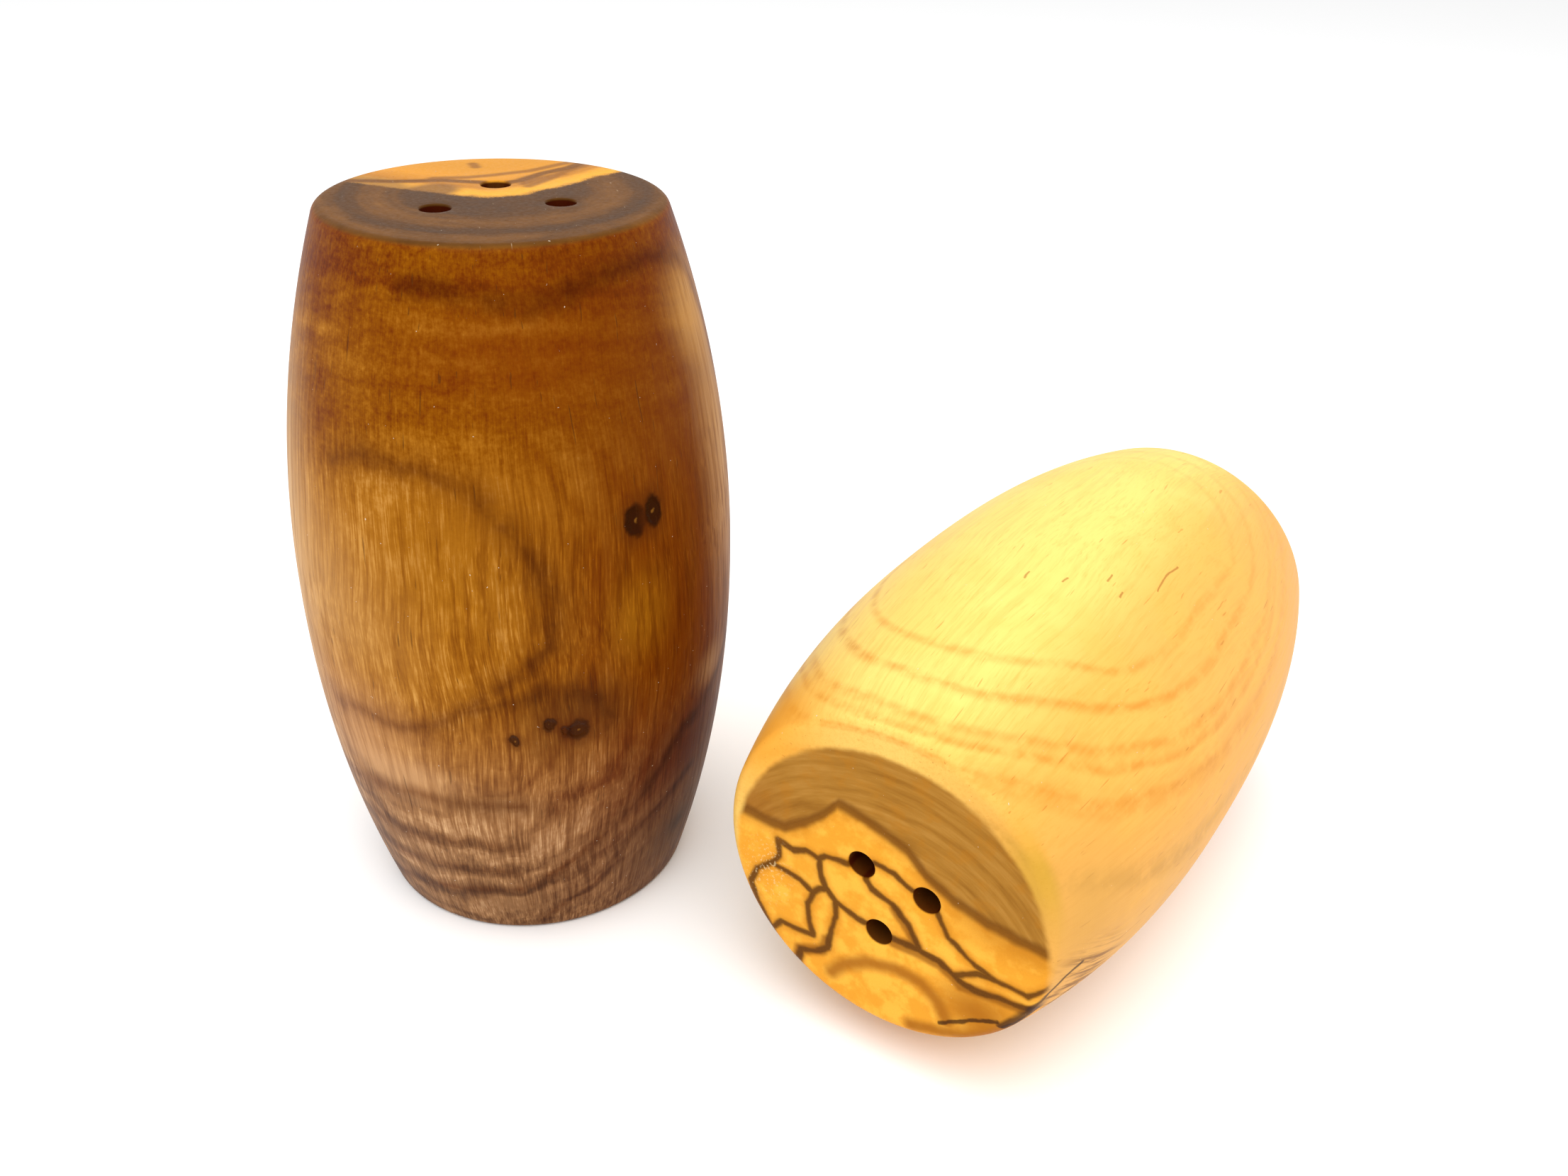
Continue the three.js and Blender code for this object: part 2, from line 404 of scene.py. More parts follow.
class Shader:
    """One material's nodes. Each method adds a node or two and returns the output socket."""

    def __init__(self, name):
        self.material = bpy.data.materials.new(name)
        self.material.use_nodes = True
        self.tree = self.material.node_tree
        self.tree.nodes.clear()

    def add(self, kind, inputs, output=0, **settings):
        """A node of a kind, with its inputs by number or name, as numbers or as sockets."""
        node = self.tree.nodes.new("ShaderNode" + kind)
        for key, value in settings.items():
            setattr(node, key, value)
        for key, value in inputs.items():
            if isinstance(value, bpy.types.NodeSocket):
                self.tree.links.new(value, node.inputs[key])
            else:
                node.inputs[key].default_value = value
        return node.outputs[output] if node.outputs else None

    def point_mm(self):
        """The point being shaded, in millimetres of the piece's own frame."""
        place = self.add("TexCoord", {}, "Object")
        return self.vector("SCALE", place, scale=1 / MM)

    def math(self, operation, a, b=0.0, c=0.0, clamp=False):
        return self.add("Math", {0: a, 1: b, 2: c}, operation=operation, use_clamp=clamp)

    def times(self, a, b):
        return self.math("MULTIPLY", a, b)

    def blend(self, share, a, b):
        """The number a where share is 0, b where it is 1, and between them elsewhere."""
        return self.math("MULTIPLY_ADD", self.math("SUBTRACT", b, a), share, a)

    def vector(self, operation, a, b=(0, 0, 0), scale=1.0):
        """A vector operation. Those that give one number have it on their second output."""
        single = operation in ("LENGTH", "DISTANCE", "DOT_PRODUCT")
        return self.add("VectorMath", {0: a, 1: b, 3: scale}, int(single), operation=operation)

    def split(self, vector):
        return tuple(self.add("SeparateXYZ", {0: vector}).node.outputs)

    def join(self, x, y, z):
        return self.add("CombineXYZ", {0: x, 1: y, 2: z})

    def noise(self, point, scale, detail=2.0, roughness=0.5, output="Fac"):
        inputs = {"Vector": point, "Scale": scale, "Detail": detail, "Roughness": roughness}
        return self.add("TexNoise", inputs, output)

    def wander(self, point, scale, reach, detail=1.0):
        """A smooth random shift of up to about half of reach each way."""
        colour = self.noise(point, scale, detail, output="Color")
        centred = self.vector("SUBTRACT", colour, (0.5, 0.5, 0.5))
        return self.vector("SCALE", centred, scale=reach)

    def smooth(self, value, low, high):
        """0 below low, 1 above high and smooth between. low may be the larger."""
        inputs = {"Value": value, "From Min": low, "From Max": high}
        return self.add("MapRange", inputs, interpolation_type="SMOOTHSTEP")

    def fit(self, value, low, high, to_low=0.0, to_high=1.0):
        """A straight line through two values, clamped at both."""
        names = ("Value", "From Min", "From Max", "To Min", "To Max")
        return self.add("MapRange", dict(zip(names, (value, low, high, to_low, to_high))))

    def ramp(self, value, stops, interpolation="EASE"):
        """A colour or a number read off stops, each (position, colour or number)."""
        low, high = stops[0][0], stops[-1][0]
        node = self.add("ValToRGB", {0: self.fit(value, low, high)}).node
        node.color_ramp.interpolation = interpolation
        elements = node.color_ramp.elements
        while len(elements) < len(stops):
            elements.new(0.5)
        for i, (position, _) in enumerate(stops):
            elements[i].position = (position - low) / (high - low)
        for element, (_, shade) in zip(elements, stops):
            grey = isinstance(shade, (int, float))
            element.color = (shade, shade, shade, 1) if grey else (*shade, 1)
        return node.outputs[0]

    def mix(self, factor, a, b, blend="MIX"):
        """A mix of two colours, each a socket or three numbers."""
        inputs = {0: factor}
        for key, colour in ((6, a), (7, b)):
            inputs[key] = colour if isinstance(colour, bpy.types.NodeSocket) else (*colour, 1)
        return self.add("Mix", inputs, 2, data_type="RGBA", blend_type=blend)

    def tint(self, colour, share, strength, shade):
        """A colour with a shade laid over it, as far as a share from 0 to 1 times a strength."""
        return self.mix(self.times(share, strength), colour, shade)

    def spot(self, point, centre, size):
        """1 at a point and 0 outside an ellipsoid around it."""
        away = self.vector("SUBTRACT", point, centre)
        scaled = self.vector("DIVIDE", away, size)
        return self.smooth(self.vector("LENGTH", scaled), 1.0, 0.0)

    def finish(self, colour, roughness, height, relief_mm, **shading):
        """The material: a Principled shader with a bump from a height in millimetres."""
        inputs = {"Height": height, "Distance": relief_mm * MM, "Strength": 1.0}
        normal = self.add("Bump", inputs)
        inputs = {"Base Color": colour, "Roughness": roughness, "Normal": normal, **shading}
        shader = self.add("BsdfPrincipled", inputs)
        self.add("OutputMaterial", {0: shader})
        return self.material


def on_side(body, azimuth, height):
    """A point on the turned side, in millimetres, from its azimuth in degrees and its height."""
    radius = side_radius(body, height)
    angle = radians(azimuth)
    return (radius * cos(angle), radius * sin(angle), height)


class Grain:
    """The fine structure both woods share: fibre streaks, pores and turning marks, each 0 to 1."""

    MIDDLE = 40.0  # the height of the barrel's belly
    SPREAD = 0.33  # how much the pattern is widened at the barrel's ends, where it narrows
    FIBRE_SQUASH = 0.04  # how much the noise is drawn out along the broad fibres
    FINE_SQUASH = 0.065  # and along the fine ones

    def __init__(self, s, p):
        x, y, z = s.split(s.vector("ADD", p, s.wander(p, 0.05, 3.0)))
        away = s.math("MULTIPLY_ADD", z, 1 / self.MIDDLE, -1.0)
        spread = s.math("MULTIPLY_ADD", s.times(away, away), self.SPREAD, 1.0)
        x = s.times(x, spread)
        y = s.times(y, spread)
        fibre = s.join(x, y, s.times(z, self.FIBRE_SQUASH))
        fine = s.join(x, y, s.times(z, self.FINE_SQUASH))
        self.streak = s.noise(fibre, 1.6, 3.0, 0.6)
        self.fine = s.noise(fine, 4.8, 2.0, 0.6)
        self.pores = s.smooth(s.noise(fine, 3.1, 1.0, 0.4), 0.72, 0.78)
        turned = s.join(0.0, 0.0, s.split(p)[2])
        self.marks = s.noise(turned, 2.6, 2.0, 0.6)
        self.cloud = s.noise(p, 0.11, 3.0, 0.55)
        self.mottle = s.noise(p, 0.42, 3.0, 0.6)
        self.dust = s.smooth(s.noise(p, 2.3, 2.0, 0.5), 0.76, 0.79)


def about(s, value, noise, reach):
    """A value moved up and down by a noise, by up to about half of reach."""
    return s.math("MULTIPLY_ADD", s.math("SUBTRACT", noise, 0.5), reach, value)


def arcs_of(s, growth, x, y, scale):
    """Soft streaks, 0 to 1, that follow the rings round the point x and y are measured from."""
    turn = s.times(s.math("ARCTAN2", y, x), 2.0)
    return s.noise(s.join(growth, turn, 0.0), scale, 4.0, 0.62)


def painted_hole_shade(s, p, body, colour):
    """The wood darkened inside the sprinkle holes: painted shade down the holes."""
    deep = s.smooth(s.split(p)[2], body["height"] - 0.05, body["height"] - 0.3)
    flat = s.vector("MULTIPLY", p, (1, 1, 0))
    for centre in body["holes"]:
        away = s.vector("DISTANCE", flat, (*centre, 0.0))
        inside = s.times(s.smooth(away, 2.0, 1.75), deep)
        colour = s.tint(colour, inside, 0.94, (0.048, 0.004, 0.001))
    return colour


def line_distance(s, lines, point):
    """How far a point is from the nearest of some lines of (x, y) points."""
    nearest = None
    for line in lines:
        for start, end in zip(line, line[1:]):
            run = Vector(end) - Vector(start)
            away = s.vector("SUBTRACT", point, (*start, 0.0))
            share = s.vector("DOT_PRODUCT", away, (*(run / run.length_squared), 0.0))
            share = s.add("Clamp", {0: share})
            foot = s.vector("SCALE", (*run, 0.0), scale=share)
            distance = s.vector("DISTANCE", away, foot)
            nearest = distance if nearest is None else s.math("MINIMUM", nearest, distance)
    return nearest


ROLLED_RADIUS = 23.0  # a body's side rolled out flat, at about the middle of its radii


def unrolled(s, p):
    """The azimuth as a length, the height and 0, for patterns that lie on the side."""
    x, y, z = s.split(p)
    return s.join(s.times(s.math("ARCTAN2", y, x), ROLLED_RADIUS), z, 0.0)


def rolled_out(lines):
    """Lines of (azimuth, height) points as the (x, y) lines of the unrolled side."""
    return [[(radians(a) * ROLLED_RADIUS, h) for a, h in line] for line in lines]


def satin(s, grain, colour, dark, pits=0.0):
    """The satin oiled finish over a wood colour. dark is 1 where the wood is densest.

    The relief, with the height of any pits in it, is in millimetres.
    """
    colour = s.tint(colour, grain.dust, 0.6, (0.85, 0.72, 0.55))
    rough = s.fit(grain.streak, 0.3, 0.7, 0.5, 0.38)
    rough = s.math("MULTIPLY_ADD", dark, -0.05, rough)
    height = pits
    for part, depth in (
        (grain.streak, 0.012), (grain.fine, 0.008), (grain.marks, 0.008),
        (grain.pores, -0.008), (grain.dust, 0.02),
    ):  # fmt: skip
        height = s.math("MULTIPLY_ADD", part, depth, height)
    shading = {"IOR": 1.5, "Specular IOR Level": 0.06, "Specular Tint": (1.0, 0.75, 0.3, 1.0)}
    return s.finish(colour, rough, height, 1.0, **shading)


# Dark wood. The growth rings run about a pith that stands a little off the body's axis and leans.
PITH = (-1.18, 6.7)
PITH_HEIGHT = 46.0
PITH_LEAN = (-0.0075, 0.0428)
# (distance from the pith in millimetres, how light the wood is there)
DARK_RINGS = [
    (9.5, 0.26), (12.6, 0.18), (14.6, 0.3), (17.0, 0.56), (18.6, 0.48), (20.2, 0.3),
    (21.4, 0.4), (22.5, 0.34), (23.35, 0.52), (23.65, 0.3), (23.95, 0.56), (24.55, 0.5),
    (24.85, 0.24), (25.2, 0.6), (25.6, 0.66), (25.95, 0.36), (26.3, 0.68), (26.8, 0.72),
    (27.1, 0.4), (27.5, 0.74), (27.95, 0.74), (28.2, 0.38), (28.5, 0.7), (29.0, 0.76),
    (29.2, 0.7), (29.9, 0.76), (30.3, 0.84), (31.5, 0.9),
]  # fmt: skip
# The bands above the rings' oval, by their height in the middle of the front.
DARK_BANDS = [
    (58.0, 0.62), (62.0, 0.56), (64.5, 0.5), (66.5, 0.58), (68.5, 0.46), (70.5, 0.56),
    (72.2, 0.44), (73.8, 0.6), (75.0, 0.5), (75.8, 0.42), (76.5, 0.48), (77.3, 0.36),
    (78.2, 0.44), (80.0, 0.36),
]  # fmt: skip
BAND_FRONT = (0.64, -0.77)  # the way the bands' middle faces
BAND_SAG = 0.35  # how far a band drops for each millimetre it lies further back
BAND_REACH = 19.0  # how far the bands' middle is from the axis
# (distance from near the axis, how light the dark wood is there) on the top face
TOP_BANDS = [
    (0.0, 0.3), (6.0, 0.22), (8.5, 0.3), (10.0, 0.5), (11.5, 0.62), (13.0, 0.56),
    (14.2, 0.34), (15.0, 0.26), (16.0, 0.5), (16.8, 0.6), (18.5, 0.5),
]  # fmt: skip
# (azimuth, height, half-width, half-height, strength) of each pin knot on the side
DARK_KNOTS = [
    (-15.8, 53.4, 1.25, 1.7, 0.92),
    (-10.3, 53.8, 1.05, 1.8, 0.92),
    (-49.7, 30.7, 0.6, 0.7, 0.72),
    (-41.0, 32.5, 0.75, 0.8, 0.72),
    (-37.0, 31.3, 0.6, 0.8, 0.72),
    (-33.8, 31.2, 1.2, 1.3, 0.72),
]
# (azimuth, height, half-width, half-height, colour, strength) of broad stains on the side, and of
# one pale patch of painted reflection
DARK_STAINS_AND_GLARE = [
    (0, 45, 28, 70, (0.12, 0.022, 0.0005), 0.85),
    (-45, 71, 20, 9, (0.15, 0.024, 0.0005), 0.5),
    (-50, 56, 12, 8, (0.25, 0.08, 0.003), 0.5),
    (-58, 21.5, 8, 3.5, (0.19, 0.08, 0.028), 0.65),
    (-39, 30, 7, 5, (0.13, 0.04, 0.005), 0.55),
    (-16, 43, 6, 8, (0.3, 0.115, 0.004), 0.5),
    (2, 22, 13, 10, (0.06, 0.007, 0.001), 0.75),
    (6, 9, 15, 13, (0.085, 0.034, 0.011), 0.85),
    (-35, 34, 9, 5, (0.105, 0.032, 0.004), 0.65),
    (-86, 24.5, 12, 3.5, (0.5, 0.27, 0.12), 0.75),
    (-58, 5, 7, 4, (0.18, 0.08, 0.03), 0.5),
    (6, 9.5, 3.5, 2.6, (0.035, 0.012, 0.004), 0.8),
    (-88, 42, 12, 13, (0.42, 0.2, 0.05), 0.35),
    # Painted reflection, not a stain: the pale glare of the side near where it is seen at a grazing
    # angle.
    (-124, 48, 11, 36, (0.62, 0.36, 0.14), 0.65),
    (14, 31, 6, 4, (0.4, 0.22, 0.09), 0.55),
    (27, 56, 9, 34, (0.46, 0.23, 0.06), 0.75),
    (-96, 28, 13, 11, (0.52, 0.26, 0.1), 0.6),
    (-84, 22, 8, 4, (0.5, 0.27, 0.12), 0.5),
    (-104, 46, 10, 15, (0.62, 0.34, 0.11), 0.4),
    (22, 71, 8, 8, (0.6, 0.31, 0.08), 0.5),
    (-60, 50, 14, 13, (0.26, 0.09, 0.003), 0.35),
]
# Lines of dense wood on the side, as (azimuth, height) points along each: the oval's outline,
# the arcs that sweep up from the foot, and the streaks that lie flat.
OVAL_LINES = [
    [(-94, 59.2), (-84, 60.8), (-66, 60.4), (-56, 58.5),
     (-48, 55.4), (-42, 51.5), (-38.8, 46.9), (-39.4, 42.3), (-45.8, 39.3), (-55.8, 36.2),
     (-63.9, 33.6), (-69.9, 32.1), (-79.9, 31.1), (-92, 31.3), (-102, 30.5)],
    [(-63.9, 33.8), (-52, 35.4), (-42, 36.8), (-34, 36.4), (-28, 34.4), (-25, 31)],
]  # fmt: skip
ARC_LINES = [
    [(-112, 3), (-92, 5.4), (-66, 6.9), (-52, 8), (-44, 9.6), (-34, 12.3), (-24, 15.4),
     (-14, 19.2), (-6, 23), (0, 25.8), (8, 26.5), (20, 28.5), (30, 31.5)],
    [(-46, 2), (-32, 6.2), (-24, 9.2), (-20, 12.3), (-12, 14.6), (-2, 16.2), (8, 18)],
]  # fmt: skip
FLAT_LINES = [
    [(-114, 19.2), (-92, 20.8), (-76, 21.4), (-62, 21.6), (-46, 21.0)],
    [(-104, 14.4), (-80, 15.2), (-66, 15.5), (-50, 14.8)],
    [(-108, 9.9), (-84, 10.7), (-72, 10.8), (-54, 11.0)],
    [(-74, 76.2), (-62, 76.3), (-52, 75.8), (-44, 75.1), (-36, 74.8), (-28, 75.3), (-20, 76.2),
     (-10, 76.9), (4, 77), (20, 75.8), (28, 73.8), (34, 69), (38, 62)],
]  # fmt: skip
# The dark lines in the pale sapwood of the top, as (x, y) points along each.
SAP_LINES = [
    [(-3.2, 18.0), (-2.5, 14.0), (-2.9, 10.3), (-2.5, 6.6), (-3.3, 3.7)],
    [(-3.3, 3.7), (-4.9, 3.6), (-8.4, 1.6), (-12.1, -1.9), (-15.5, -4.6), (-19.0, -6.5)],
]
SAP_STREAKS = [
    [(-4.0, 17.0), (-4.7, 10.3), (-6.2, 6.6), (-7.6, 4.0), (-10.0, 1.5)],
    [(-1.9, 16.0), (-1.6, 12.5), (-0.8, 9.0), (-0.3, 5.5)],
    [(-1.2, 11.5), (-1.6, 8.0), (-1.3, 6.0)],
    [(-11.5, 8.4), (-10.2, 7.6)],
]
# (centre, half-sizes, colour) of the brown patches in that sapwood, and where it ends: past each
# of two lines, a x + b y + c = 0, which meet in a soft corner.
SAP_PATCHES = [
    ((-12.5, -4.4, 0.0), (8.5, 4.4, 1.0), (0.26, 0.13, 0.028)),
    ((-6.4, -1.9, 0.0), (3.9, 4.4, 1.0), (0.12, 0.052, 0.012)),
]
SAP_SIDE = (1.0, -0.06, 0.35)
SAP_FRONT = (0.25, -0.97, 1.13)
SAP_CORNER = 8.0
# (lines, width in millimetres, strength) of each pass of the dense lines
DENSE_LINES = [
    (OVAL_LINES, 1.5, 0.6), (OVAL_LINES, 3.6, 0.5), (ARC_LINES, 1.8, 1.0), (FLAT_LINES, 2.0, 0.8),
]  # fmt: skip
# The dark wood's colours, as (how light it is, colour): the upper side, the foot, the top face.
WARM_TONES = [
    (0.0, (0.045, 0.006, 0.0003)),
    (0.3, (0.13, 0.023, 0.0003)),
    (0.55, (0.215, 0.062, 0.0005)),
    (0.8, (0.33, 0.12, 0.007)),
    (1.0, (0.48, 0.22, 0.042)),
]
GREY_TONES = [
    (0.0, (0.04, 0.015, 0.005)),
    (0.35, (0.135, 0.058, 0.022)),
    (0.7, (0.31, 0.155, 0.066)),
    (1.0, (0.58, 0.35, 0.185)),
]
END_TONES = [
    (0.0, (0.04, 0.014, 0.002)),
    (0.4, (0.082, 0.03, 0.004)),
    (0.7, (0.15, 0.057, 0.008)),
    (1.0, (0.3, 0.135, 0.024)),
]
# The top's pale sapwood, as (distance past its edge in millimetres, colour).
GOLD_TONES = [
    (-14.0, (0.64, 0.28, 0.02)),
    (-8.0, (0.58, 0.25, 0.016)),
    (-4.0, (0.64, 0.27, 0.018)),
    (-1.0, (0.44, 0.17, 0.01)),
    (0.0, (0.72, 0.33, 0.024)),
    (1.4, (0.8, 0.39, 0.028)),
    (2.2, (0.4, 0.18, 0.02)),
]


def ring_tone(s, p, x, y, z):
    """How light the rings make the wood, and the soft streaks that follow them."""
    rise = s.math("SUBTRACT", z, PITH_HEIGHT)
    across = s.math("SUBTRACT", s.math("MULTIPLY_ADD", rise, -PITH_LEAN[0], x), PITH[0])
    back = s.math("SUBTRACT", s.math("MULTIPLY_ADD", rise, -PITH_LEAN[1], y), PITH[1])
    growth = s.vector("LENGTH", s.join(across, back, 0.0))
    low = s.smooth(z, 38.0, 18.0)
    growth = about(s, growth, s.noise(p, 0.16, 3.0), s.math("MULTIPLY_ADD", low, 1.3, 0.4))
    late = arcs_of(s, growth, across, back, 1.5)
    tone = about(s, s.ramp(growth, DARK_RINGS), late, s.math("MULTIPLY_ADD", low, 1.1, 0.3))
    # Inside the oval and at the foot the rings are calmer.
    calm = s.times(s.smooth(growth, 29.2, 28.6), s.smooth(z, 22.0, 36.0))
    calm = s.math("MULTIPLY_ADD", calm, 0.55, s.times(low, 0.4))
    return s.blend(calm, tone, 0.58), late


def band_tone(s, p, q, z):
    """How light the flat bands above the oval make the wood, and how far they replace the rings."""
    forward = s.vector("DOT_PRODUCT", q, (*BAND_FRONT, 0.0))
    sag = s.math("MULTIPLY_ADD", forward, -BAND_SAG, BAND_SAG * BAND_REACH)
    level = about(s, s.math("ADD", z, sag), s.noise(p, 0.075, 3.0), 6.0)
    streaky = s.vector("MULTIPLY", p, (0.12, 0.12, 1.0))
    tone = about(s, s.ramp(level, DARK_BANDS), s.noise(streaky, 0.5, 4.0, 0.6), 0.5)
    return tone, s.smooth(level, 58.0, 66.0)


def end_tone(s, q, x, y):
    """How light the soft bands round the axis make the end grain of the top face."""
    reach = s.vector("DISTANCE", s.vector("MULTIPLY", q, (1, 1, 0)), (-1.0, 1.5, 0.0))
    return about(s, s.ramp(reach, TOP_BANDS), arcs_of(s, reach, x, y, 1.0), 0.45)


def stains_and_glare(s, body, q, grain, off_top, colour):
    """The colour with the broad stains of the side, and one pale patch of painted reflection."""
    for azimuth, height, wide, tall, shade, strength in DARK_STAINS_AND_GLARE:
        spot = s.spot(q, on_side(body, azimuth, height), (wide, wide, tall))
        streaked = s.times(about(s, 1.0, grain.streak, 1.2), strength)
        spot = s.math("MULTIPLY", spot, streaked, clamp=True)
        colour = s.tint(colour, spot, off_top, shade)
    return colour


def lined(s, p, grain, late, off_top, colour):
    """The colour with the side's lines of dense wood."""
    skin = unrolled(s, s.vector("ADD", p, s.wander(p, 0.12, 2.4, 2.0)))
    patchy = s.times(s.fit(grain.mottle, 0.36, 0.58, 0.55, 1.0), off_top)
    for lines, width, strength in DENSE_LINES:
        distance = about(s, line_distance(s, rolled_out(lines), skin), late, 1.6)
        dense = s.times(s.smooth(distance, width, -0.2), strength)
        colour = s.mix(s.times(dense, patchy), colour, (0.42, 0.27, 0.16), "MULTIPLY")
    return colour


def threaded(s, x, z, grain, off_top, colour):
    """The colour with its fibres, which are strongest at the right and low down; the pale ones are
    partly their own tone, partly painted sheen.
    """
    contrast = s.times(s.fit(x, 4.0, 19.0, 0.2, 0.6), off_top)
    contrast = s.times(s.fit(z, 50.0, 64.0, 0.85, 0.12), contrast)
    dark = s.times(s.smooth(grain.streak, 0.52, 0.38), contrast)
    colour = s.mix(dark, colour, (0.5, 0.34, 0.22), "MULTIPLY")
    # Pale fibres, brightened towards white: partly their own tone, partly painted sheen along the
    # fibres.
    pale = s.times(s.smooth(grain.fine, 0.52, 0.66), contrast)
    return s.mix(pale, colour, (1.4, 1.5, 1.5), "MULTIPLY")


def back_sapwood(s, x, y, grain, late, off_top, colour):
    """The colour with the pale sapwood of the far side and its few dark lines."""
    side, front = (
        s.math("MULTIPLY_ADD", y, b, s.math("MULTIPLY_ADD", x, a, c))
        for a, b, c in (SAP_SIDE, SAP_FRONT)
    )
    edge = s.math("SMOOTH_MAX", side, front, SAP_CORNER)
    edge = about(s, about(s, edge, grain.mottle, 1.6), grain.fine, 1.2)
    # Off the top face it is paler, and shows its rings and fibres.
    sap = s.mix(s.smooth(late, 0.36, 0.62), (0.58, 0.27, 0.032), (0.8, 0.46, 0.09))
    thread = s.times(s.smooth(grain.streak, 0.48, 0.66), 0.45)
    sap = s.mix(thread, sap, (0.4, 0.16, 0.02))
    gold = s.mix(s.times(off_top, 0.7), s.ramp(edge, GOLD_TONES, "LINEAR"), sap)
    flat = s.join(x, y, 0.0)
    streaks = s.smooth(line_distance(s, SAP_STREAKS, flat), 1.0, 0.15)
    gold = s.tint(gold, streaks, 0.8, (0.17, 0.06, 0.005))
    for centre, size, shade in SAP_PATCHES:
        patch = s.smooth(s.spot(flat, centre, size), 0.0, 0.6)
        gold = s.tint(gold, patch, 0.85, shade)
    lines = s.smooth(line_distance(s, SAP_LINES, flat), 1.05, 0.3)
    gold = s.tint(gold, lines, 0.9, (0.07, 0.022, 0.003))
    gold = s.tint(gold, grain.fine, 0.45, (0.4, 0.15, 0.02))
    return s.mix(s.smooth(edge, 2.5, 1.9), colour, gold)


def scuffs_and_rim_highlight(s, p, on_top, colour):
    """The colour with short pale marks across the top and the rim's edge: partly wear, partly a
    painted highlight on that edge.
    """
    x, y, _ = s.split(p)
    along = s.times(s.math("SUBTRACT", x, y), 0.35)
    over = s.times(s.math("ADD", x, y), 1.8)
    pale_mark = s.smooth(s.noise(s.join(along, over, 0.0), 1.0, 2.0, 0.5), 0.7, 0.78)
    return s.mix(s.times(s.times(pale_mark, on_top), 0.55), colour, (0.42, 0.3, 0.19))


def knotted(s, p, body, colour):
    """The colour with the pin knots, each dark with a tiny pale heart, and the pits they leave."""
    pits = 0.0
    ragged = s.vector("ADD", p, s.wander(p, 1.0, 0.9, 3.0))
    for azimuth, height, wide, tall, strength in DARK_KNOTS:
        away = s.vector("SUBTRACT", ragged, on_side(body, azimuth, height))
        away = s.vector("LENGTH", s.vector("DIVIDE", away, (wide, wide, tall)))
        halo = s.smooth(away, 2.3, 0.8)
        colour = s.tint(colour, halo, 0.6, (0.075, 0.014, 0.001))
        heart = s.smooth(away, 0.22, 0.08)
        knot = s.mix(s.times(heart, 0.6), (0.016, 0.002, 0.0005), (0.24, 0.1, 0.014))
        colour = s.mix(s.times(s.smooth(away, 1.25, 0.8), strength), colour, knot)
        pits = s.math("MINIMUM", pits, s.times(s.smooth(away, 0.9, 0.5), -0.12))
    return colour, pits


def dark_wood(body):
    s = Shader("dark_wood")
    p = s.point_mm()
    grain = Grain(s, p)
    q = s.vector("ADD", p, s.wander(p, 0.035, 1.4))
    q = s.vector("ADD", q, s.wander(p, 0.2, 0.32))
    x, y, z = s.split(q)
    on_top = s.smooth(s.split(p)[2], body["height"] - 0.5, body["height"] - 0.1)
    off_top = s.math("SUBTRACT", 1.0, on_top)

    # How light the wood is: rings round an oval, flat bands above it, and the fibres.
    rings, late = ring_tone(s, p, x, y, z)
    bands, upper = band_tone(s, p, q, z)
    tone = s.blend(upper, rings, bands)
    quiet = s.fit(z, 54.0, 68.0, 1.0, 0.45)
    tone = about(s, tone, grain.streak, s.times(quiet, 0.55))
    tone = about(s, tone, grain.fine, s.times(quiet, 0.65))
    tone = about(s, tone, s.noise(p, 1.7, 2.0, 0.75), s.fit(z, 52.0, 66.0, 0.15, 0.6))
    tone = s.blend(on_top, tone, end_tone(s, q, x, y))
    tone = about(s, tone, grain.cloud, 0.35)
    tone = about(s, tone, grain.mottle, 0.35)

    # Warm above and greyer towards the foot.
    greyness = s.times(s.smooth(z, 38.0, 12.0), 0.9)
    warm = s.ramp(tone, WARM_TONES, "LINEAR")
    colour = s.mix(greyness, warm, s.ramp(tone, GREY_TONES, "LINEAR"))
    colour = stains_and_glare(s, body, q, grain, off_top, colour)
    colour = lined(s, p, grain, late, off_top, colour)
    colour = threaded(s, x, z, grain, off_top, colour)
    colour = s.mix(on_top, colour, s.ramp(tone, END_TONES, "LINEAR"))
    colour = back_sapwood(s, x, y, grain, late, off_top, colour)
    # Pale marks on the top: partly wear, partly a painted highlight on the rim's edge.
    colour = scuffs_and_rim_highlight(s, p, on_top, colour)
    colour, pits = knotted(s, p, body, colour)
    colour = s.tint(colour, grain.pores, 0.5, (0.05, 0.015, 0.003))
    # Painted shade inside the sprinkle holes.
    colour = painted_hole_shade(s, p, body, colour)
    return satin(s, grain, colour, s.smooth(tone, 0.5, 0.1), pits)


# Light wood. The growth rings run about a pith under the body's axis.
LIGHT_PITH = (0.5, -11.0)
# (distance from the pith in millimetres, strength of the orange-brown ring there)
LIGHT_RINGS = [
    (22.0, 0.15), (24.2, 0.15), (25.2, 0.75), (26.3, 0.15), (27.6, 0.1), (28.1, 0.6),
    (28.4, 0.85), (28.75, 0.3), (29.15, 0.1), (29.4, 0.9), (29.7, 0.4), (30.0, 0.8),
    (30.3, 0.15), (30.95, 0.1), (31.28, 0.9), (31.5, 0.2), (32.15, 0.05), (32.38, 0.7),
    (32.58, 0.06), (34.0, 0.0), (35.0, 0.0),
]  # fmt: skip
HEART_CENTRE = (0.3, -2.5)
HEART_RADIUS = 17.5
HEART_BLUR = 0.4  # how far its edge is blended, to each side
HEART_LEAN = 0.08  # how far the heartwood sinks for each millimetre down from the top
